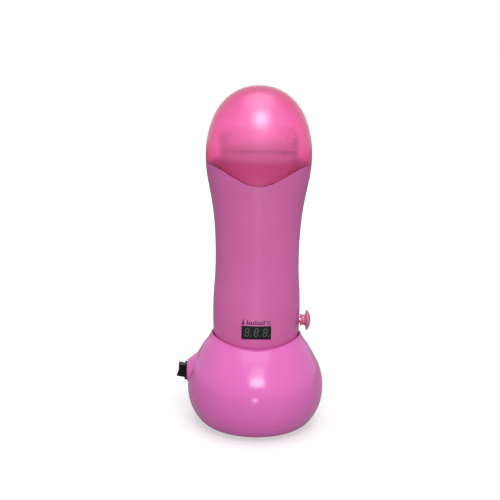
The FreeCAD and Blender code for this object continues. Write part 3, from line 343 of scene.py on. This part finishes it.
def solder_mask():
    """Circuit board: green mask with the copper tracks showing through as paler lines."""
    material, tree, place = begin("solder_mask")
    tracks = add(tree, "ShaderNodeTexBrick",
                 {"Color1": linear("1C5B38"), "Color2": linear("236A43"), "Mortar": linear("3C8A5C"),
                  "Scale": 1 / (TRACK_PITCH * MM), "Mortar Size": 0.05}, {"Vector": place})
    speck = add(tree, "ShaderNodeTexNoise", {"Scale": 1 / (MASK_SPECK * MM)}, {"Vector": place})
    gloss = add(tree, "ShaderNodeMapRange", {"To Min": 0.25, "To Max": 0.4},
                {"Value": speck.outputs["Fac"]})
    shader = add(tree, "ShaderNodeBsdfPrincipled", {"IOR": 1.5},
                 {"Base Color": tracks.outputs["Color"], "Roughness": gloss.outputs["Result"]})
    add(tree, "ShaderNodeOutputMaterial", {}, {"Surface": shader.outputs["BSDF"]})
    return material


def zinc_steel():
    """Screws, springs and shaft: zinc-plated steel, pale with a cloudy shine."""
    return worked_metal("zinc_steel", shades=("A9ABAE", "C3C5C8"), band=0.5, axis="Z",
                        roughness=(0.25, 0.4))


def turned_brass():
    """Contacts: turned brass with fine rings and a warm shine."""
    return worked_metal("turned_brass", shades=("B08A45", "CBA55C"), band=0.4, axis="Z",
                        roughness=(0.18, 0.3))


def nitrile_rubber():
    """Foot ring: matt black rubber with a dusty bloom."""
    return moulded("nitrile_rubber", shades=("17171A", "222226"), drift=7.0, grain=0.4, depth=0.03,
                   roughness=(0.65, 0.85), finish={"IOR": 1.52})


def grey_phenolic():
    """Insulating parts: pressed grey phenolic with a mottled face."""
    return moulded("grey_phenolic", shades=("6C6E72", "7F8185"), drift=3.0, grain=0.5, depth=0.015,
                   roughness=(0.4, 0.55), finish={"IOR": 1.6})


def purple_ink():
    """Printed marks: screen-printed dark purple ink, a little uneven where it lies thin."""
    return moulded("purple_ink", shades=("2C0A2A", "3A1036"), drift=1.2, grain=0.2, depth=0.004,
                   roughness=(0.4, 0.5), finish={"IOR": 1.5})


def white_ink():
    """Switch marks: pad-printed white ink."""
    return moulded("white_ink", shades=("DEDEDC", "EDEDEA"), drift=1.2, grain=0.2, depth=0.004,
                   roughness=(0.4, 0.5), finish={"IOR": 1.5})


def coat(piece, finish):
    """Gives a piece one finish all over."""
    piece.data.materials.clear()
    piece.data.materials.append(finish)


def dress_nodes():
    """Gives every CAD node the finish of its material slot."""
    finishes = {
        "pink_case": satin_pink_abs(),
        "pink_dock": polished_pink_abs(),
        "clear_pink": tinted_cap_acrylic(),
        "rose_plastic": rose_abs(),
        "black_plastic": black_nylon(),
        "display_black": display_epoxy(),
        "segment_green": unlit_segment(),
        "white_plastic": white_polypropylene(),
        "clear_container": clear_polypropylene(),
        "wax_pink": set_wax(),
        "aluminium": spun_aluminium(),
        "ceramic_white": alumina_ceramic(),
        "mica_sheet": mica_laminate(),
        "board_green": solder_mask(),
        "steel": zinc_steel(),
        "brass": turned_brass(),
        "black_rubber": nitrile_rubber(),
        "grey_plastic": grey_phenolic(),
    }
    for sub_part in frame["record"]["subparts"]:
        coat(frame["nodes"][sub_part["node"]], finishes[sub_part["material_slot"]])
    return finishes


def deselect():
    """Nothing stays selected, so that an operator meets only the new piece."""
    if bpy.context.mode != "OBJECT":
        bpy.ops.object.mode_set(mode="OBJECT")
    bpy.ops.object.select_all(action="DESELECT")


def pick(piece):
    """Makes one piece the only selected and active object."""
    deselect()
    piece.select_set(True)
    bpy.context.view_layer.objects.active = piece


def settle(piece):
    """Puts the piece's place, turn and scale into its mesh."""
    pick(piece)
    bpy.ops.object.transform_apply(location=True, rotation=True, scale=True)


def select_parts(piece, kind, chosen):
    """In edit mode, selects faces by their middle and normal, or edges by their middle and direction."""
    bpy.ops.object.mode_set(mode="OBJECT")
    mesh = piece.data
    for part in (*mesh.vertices, *mesh.edges, *mesh.polygons):
        part.select = False
    if kind == "FACE":
        for face in mesh.polygons:
            face.select = chosen(face.center, face.normal)
    else:
        for edge in mesh.edges:
            ends = [mesh.vertices[index].co for index in edge.vertices]
            edge.select = chosen((ends[0] + ends[1]) / 2, ends[1] - ends[0])
    bpy.ops.object.mode_set(mode="EDIT")
    bpy.ops.mesh.select_mode(type=kind)


def join(pieces, name):
    """Joins pieces into one, with its place in its mesh."""
    deselect()
    for piece in pieces:
        piece.select_set(True)
    bpy.context.view_layer.objects.active = pieces[0]
    bpy.ops.object.join()
    whole = bpy.context.view_layer.objects.active
    whole.name = name
    settle(whole)
    return whole


def apply_modifier(piece, kind, settings):
    """Adds a modifier with its settings and applies it."""
    pick(piece)
    modifier = piece.modifiers.new(kind.lower(), kind)
    for name, value in settings.items():
        setattr(modifier, name, value)
    bpy.ops.object.modifier_apply(modifier=modifier.name)


def clean(piece):
    """Merges points that lie together and turns all faces outwards."""
    pick(piece)
    bpy.ops.object.mode_set(mode="EDIT")
    bpy.ops.mesh.select_all(action="SELECT")
    bpy.ops.mesh.remove_doubles(threshold=MERGE_DISTANCE * MM)
    bpy.ops.mesh.normals_make_consistent(inside=False)
    bpy.ops.object.mode_set(mode="OBJECT")


def print_on(piece, carrier, axis):
    """Lays a flat print on a curved carrier along one axis and gives it the ink's thickness."""
    apply_modifier(piece, "SHRINKWRAP", {
        "target": frame["nodes"][carrier],
        "wrap_method": "PROJECT",
        "use_project_" + axis: True,
        "use_positive_direction": True,
        "use_negative_direction": False,
        "offset": PRINT_LIFT * MM,
    })
    apply_modifier(piece, "SOLIDIFY", {"thickness": PRINT_THICKNESS * MM, "offset": 1.0})
    clean(piece)


def flat_bar(width, height, x, y, z, turn, cuts):
    """A flat bar to be printed: a plane of that size, turned to face outwards and cut into a grid."""
    bpy.ops.mesh.primitive_plane_add(size=MM, location=(x * MM, y * MM, z * MM))
    bar = bpy.context.view_layer.objects.active
    bar.scale = (width, height, 1)
    bar.rotation_euler = turn
    settle(bar)
    bpy.ops.object.mode_set(mode="EDIT")
    bpy.ops.mesh.select_all(action="SELECT")
    bpy.ops.mesh.subdivide(number_cuts=cuts)
    bpy.ops.object.mode_set(mode="OBJECT")
    return bar


def disc(radius, sides, x, y, z, turn, rim, hollow):
    """A flat disc to be printed, with a rim round its edge, and open inside the rim where it is hollow."""
    deselect()
    bpy.ops.mesh.primitive_circle_add(vertices=sides, radius=radius * MM, fill_type="NGON",
                                      location=(x * MM, y * MM, z * MM), rotation=turn)
    piece = bpy.context.view_layer.objects.active
    bpy.ops.object.mode_set(mode="EDIT")
    bpy.ops.mesh.inset(thickness=rim * MM)
    if hollow:
        bpy.ops.mesh.delete(type="FACE")
    bpy.ops.object.mode_set(mode="OBJECT")
    return piece


def tick_row(y, foot, facing):
    """A row of ticks that stand on a rule, some of them taller."""
    bars = []
    for number in range(TICK_COUNT):
        tall = MARK_HEIGHT if number % LONG_TICK_EVERY == 0 else MARK_HEIGHT * SHORT_TICK_SHARE
        x = TICK_START + number * TICK_PITCH
        bars.append(flat_bar(TICK_WIDTH, tall, x, y, foot + tall / 2, facing, 1))
    length = (TICK_COUNT - 1) * TICK_PITCH + TICK_WIDTH
    middle = TICK_START + (TICK_COUNT - 1) * TICK_PITCH / 2
    bars.append(flat_bar(length, RULE_HEIGHT, middle, y, foot - RULE_HEIGHT / 2, facing, RULE_CUTS))
    return bars


def thermometer(y, foot, facing):
    """A thermometer: a stem on a round bulb."""
    x = BULB_RADIUS - MARKS_HALF
    stem = flat_bar(STEM_WIDTH, MARK_HEIGHT, x, y, MARKS_Z + BULB_RADIUS / 2, facing, 1)
    bulb = disc(BULB_RADIUS, BULB_SIDES, x, y, foot, facing, BULB_INSET, False)
    return [stem, bulb]


def degree_sign(y, foot, facing):
    """The sign for degrees: text that is made a mesh before it is put in its place."""
    deselect()
    bpy.ops.object.text_add(location=(0, 0, 0))
    sign = bpy.context.view_layer.objects.active
    sign.data.body = "°C"
    sign.data.size = UNIT_SIZE * MM
    sign.data.offset = UNIT_WEIGHT * MM
    sign.data.align_x = "RIGHT"
    bpy.ops.object.convert(target="MESH")
    sign = bpy.context.view_layer.objects.active
    sign.location = (MARKS_HALF * MM, y * MM, (foot - RULE_HEIGHT) * MM)
    sign.rotation_euler = facing
    return sign


def temperature_marks(ink):
    """Printed marks over the display: a row of ticks on a rule, a thermometer and the degree sign."""
    deselect()
    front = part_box("front_shell")[0].y / MM - PRINT_STANDOFF
    facing = (math.radians(90), 0, 0)
    foot = MARKS_Z - MARK_HEIGHT / 2
    parts = tick_row(front, foot, facing) + thermometer(front, foot, facing)
    parts.append(degree_sign(front, foot, facing))
    marks = join(parts, "temperature_marks")
    print_on(marks, "front_shell", "y")
    coat(marks, ink)
    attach(marks, "handpiece")


def rocker_marks(ink):
    """Line and ring on the rocker's two halves."""
    deselect()
    low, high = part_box("switch_rocker")
    out = low.x / MM - PRINT_STANDOFF
    middle = (low.z + high.z) / 2 / MM
    facing = Euler((math.radians(90), 0, math.radians(-90)))
    line = flat_bar(ROCKER_MARK_WIDTH, ROCKER_MARK_HEIGHT, out, 0, middle + ROCKER_MARK_STEP, facing, 1)
    ring = disc(ROCKER_MARK_HEIGHT / 2, RING_SIDES, out, 0, middle - ROCKER_MARK_STEP, facing,
                ROCKER_MARK_WIDTH, True)
    marks = join([line, ring], "rocker_marks")
    print_on(marks, "switch_rocker", "x")
    coat(marks, ink)
    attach(marks, "rocker")


def cross_screw(head_radius, head, shank_radius, shank):
    """A screw along +Z, its head's face at zero: a rounded head with a cross recess, and a pointed shank."""
    deselect()
    bpy.ops.mesh.primitive_cylinder_add(vertices=SCREW_SIDES, radius=head_radius * MM, depth=head * MM,
                                        location=(0, 0, head / 2 * MM))
    screw = bpy.context.view_layer.objects.active
    settle(screw)
    select_parts(screw, "FACE", lambda middle, normal: normal.z > SQUARE)
    bpy.ops.mesh.inset(thickness=(head_radius - shank_radius) * MM)
    bpy.ops.mesh.extrude_region_move(TRANSFORM_OT_translate={"value": (0, 0, (shank - SCREW_TIP) * MM)})
    bpy.ops.mesh.extrude_region_move(TRANSFORM_OT_translate={"value": (0, 0, SCREW_TIP * MM)})
    bpy.ops.transform.resize(value=(SCREW_TIP_SHARE, SCREW_TIP_SHARE, 1))
    near = LEVEL_TOLERANCE * MM
    select_parts(screw, "EDGE", lambda middle, along: middle.z < near and abs(along.z) < near)
    bpy.ops.mesh.bevel(offset=SCREW_EDGE * MM, segments=SCREW_EDGE_STEPS, affect="EDGES")
    bpy.ops.object.mode_set(mode="OBJECT")
    for size in ((CROSS_LENGTH, CROSS_WIDTH), (CROSS_WIDTH, CROSS_LENGTH)):
        deselect()
        bpy.ops.mesh.primitive_cube_add(size=MM, location=(0, 0, 0))
        cutter = bpy.context.view_layer.objects.active
        cutter.scale = (*size, 2 * CROSS_DEPTH)
        settle(cutter)
        apply_modifier(screw, "BOOLEAN", {"operation": "DIFFERENCE", "solver": "EXACT", "object": cutter})
        bpy.data.objects.remove(cutter)
    clean(screw)
    bpy.ops.object.shade_smooth_by_angle(angle=math.radians(SCREW_SMOOTH_DEGREES))
    return screw


def placed_screws(name, master, places, finish, body):
    """Copies of one screw, each turned and set in its place, joined to stand for the node."""
    copies = []
    for number, (at, turn) in enumerate(places):
        copy = master.copy()
        copy.data = master.data.copy()
        bpy.context.scene.collection.objects.link(copy)
        degrees = SCREW_TURN_DEGREES + SCREW_TURN_STEP_DEGREES * number
        spin = Matrix.Rotation(math.radians(degrees), 4, "Z")
        copy.matrix_world = Matrix.Translation(at) @ turn @ spin
        copies.append(copy)
    bpy.data.objects.remove(master)
    screws = join(copies, name + "_crossed")
    coat(screws, finish)
    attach(screws, body)
    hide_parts(name)


def dock_screws(finish):
    """Four cover screws, heads down."""
    low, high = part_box("dock_screws")
    length = (high.z - low.z) / MM
    inset = DOCK_SCREW_HEAD_RADIUS * MM
    places = []
    for x in (low.x + inset, high.x - inset):
        for y in (low.y + inset, high.y - inset):
            places.append((Vector((x, y, low.z)), Matrix.Identity(4)))
    shank = length - DOCK_SCREW_HEAD
    master = cross_screw(DOCK_SCREW_HEAD_RADIUS, DOCK_SCREW_HEAD, SCREW_SHANK_RADIUS, shank)
    placed_screws("dock_screws", master, places, finish, "dock")


def case_screws(finish):
    """Two case screws, heads to the back."""
    low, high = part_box("case_screws")
    length = (high.y - low.y) / MM
    inset = CASE_SCREW_HEAD_RADIUS * MM
    turn = Matrix.Rotation(math.radians(90), 4, "X")
    places = []
    for x in (low.x + inset, high.x - inset):
        places.append((Vector((x, high.y, (low.z + high.z) / 2)), turn))
    shank = length - CASE_SCREW_HEAD
    master = cross_screw(CASE_SCREW_HEAD_RADIUS, CASE_SCREW_HEAD, SCREW_SHANK_RADIUS, shank)
    placed_screws("case_screws", master, places, finish, "handpiece")


def pressed_springs(finish):
    """Copies of the two contact springs, without their nodes' tags, that stand in place of the nodes."""
    for side in ("left", "right"):
        node = "contact_spring_" + side
        spring = frame["nodes"][node].copy()
        spring.data = spring.data.copy()
        spring.name = node + "_coil"
        spring.parent = None
        for key in list(spring.keys()):
            del spring[key]
        bpy.context.scene.collection.objects.link(spring)
        clean(spring)
        coat(spring, finish)
        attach(spring, "dock")
        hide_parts(node)
        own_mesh(spring)


def softbox(name, lamp):
    """A square area lamp aimed at the object."""
    place, width, watts = lamp
    light = bpy.data.lights.new(name, "AREA")
    light.size = width * MM
    light.energy = watts
    holder = bpy.data.objects.new(name, light)
    bpy.context.scene.collection.objects.link(holder)
    holder.location = Vector(place) * MM
    holder.rotation_euler = (Vector(LIGHT_TARGET) - Vector(place)).to_track_quat("-Z", "Y").to_euler()


def seen_rays(tree, kinds):
    """One for rays of these kinds that look straight at a thing, less for light bound for a matt face."""
    rays = add(tree, "ShaderNodeLightPath")
    seen = rays.outputs[kinds[0]]
    for kind in kinds[1:]:
        either = add(tree, "ShaderNodeMath", {"operation": "MAXIMUM"}, {0: seen, 1: rays.outputs[kind]})
        seen = either.outputs[0]
    straight = add(tree, "ShaderNodeMapRange", {"From Max": DIM_BOUNCES, "To Min": 1.0, "To Max": DIM_LEVEL},
                   {"Value": rays.outputs["Diffuse Depth"]})
    both = add(tree, "ShaderNodeMath", {"operation": "MULTIPLY"}, {0: seen, 1: straight.outputs["Result"]})
    return both.outputs[0]


def white_room():
    """A white room all round: white where it is seen, and a softer level where it lights."""
    world = bpy.data.worlds.new("white_room")
    bpy.context.scene.world = world
    world.use_nodes = True
    tree = world.node_tree
    tree.nodes.clear()
    seen = seen_rays(tree, ("Is Camera Ray", "Is Glossy Ray", "Is Transmission Ray"))
    level = add(tree, "ShaderNodeMath", {"operation": "MAXIMUM", 1: ROOM_LEVEL}, {0: seen})
    back = add(tree, "ShaderNodeBackground", {"Color": linear("FFFFFF")}, {"Strength": level.outputs[0]})
    add(tree, "ShaderNodeOutputWorld", {}, {"Surface": back.outputs["Background"]})


def pale_floor():
    """A wide pale table top that keeps the object's shadow and fades into the room."""
    deselect()
    bpy.ops.mesh.primitive_plane_add(size=FLOOR_WIDTH * MM, location=(0, 0, -FLOOR_DROP * MM))
    floor = bpy.context.view_layer.objects.active
    floor.name = "table_top"
    material, tree, place = begin("pale_table")
    speck = add(tree, "ShaderNodeTexNoise", {"Scale": 1 / (FLOOR_CLOUD * MM)}, {"Vector": place})
    tint = add(tree, "ShaderNodeValToRGB", {"stops": [(SHADE_START, "BBBBBB"), (SHADE_END, "BEBEBE")]},
               {"Fac": speck.outputs["Fac"]})
    matt = add(tree, "ShaderNodeBsdfDiffuse", {}, {"Color": tint.outputs["Color"]})
    reach = add(tree, "ShaderNodeVectorMath", {"operation": "LENGTH"}, {0: place})
    fade = add(tree, "ShaderNodeMapRange",
               {"From Min": FLOOR_FADE_START * MM, "From Max": FLOOR_FADE_END * MM, "To Min": FLOOR_LIFT,
                "To Max": 1.0}, {"Value": reach.outputs["Value"]})
    seen = seen_rays(tree, ("Is Camera Ray", "Is Transmission Ray"))
    lift = add(tree, "ShaderNodeMath", {"operation": "MULTIPLY"}, {0: seen, 1: fade.outputs["Result"]})
    glow = add(tree, "ShaderNodeEmission", {"Color": linear("FFFFFF")}, {"Strength": lift.outputs[0]})
    both = add(tree, "ShaderNodeAddShader", {}, {0: matt.outputs["BSDF"], 1: glow.outputs["Emission"]})
    add(tree, "ShaderNodeOutputMaterial", {}, {"Surface": both.outputs["Shader"]})
    floor.data.materials.append(material)


def camera():
    """The camera in front of the object, a little above it."""
    lens = bpy.data.cameras.new("camera")
    lens.lens = CAMERA_LENS
    lens.sensor_width = CAMERA_SENSOR
    holder = bpy.data.objects.new("camera", lens)
    bpy.context.scene.collection.objects.link(holder)
    look = Euler((math.radians(90 - CAMERA_PITCH_DEGREES), 0, 0)).to_matrix()
    roll = Matrix.Rotation(math.radians(CAMERA_ROLL_DEGREES), 3, "Z")
    holder.rotation_euler = (look @ roll).to_euler()
    holder.location = Vector(CAMERA_PLACE) * MM
    bpy.context.scene.camera = holder


finishes = dress_nodes()
temperature_marks(purple_ink())
rocker_marks(white_ink())
dock_screws(finishes["steel"])
case_screws(finishes["steel"])
pressed_springs(finishes["steel"])
softbox("softbox_top", SOFTBOX_TOP)
softbox("softbox_front", SOFTBOX_FRONT)
softbox("softbox_low", SOFTBOX_LOW)
white_room()
pale_floor()
camera()
bpy.context.scene.view_settings.view_transform = "Standard"

bpy.context.view_layer.update()
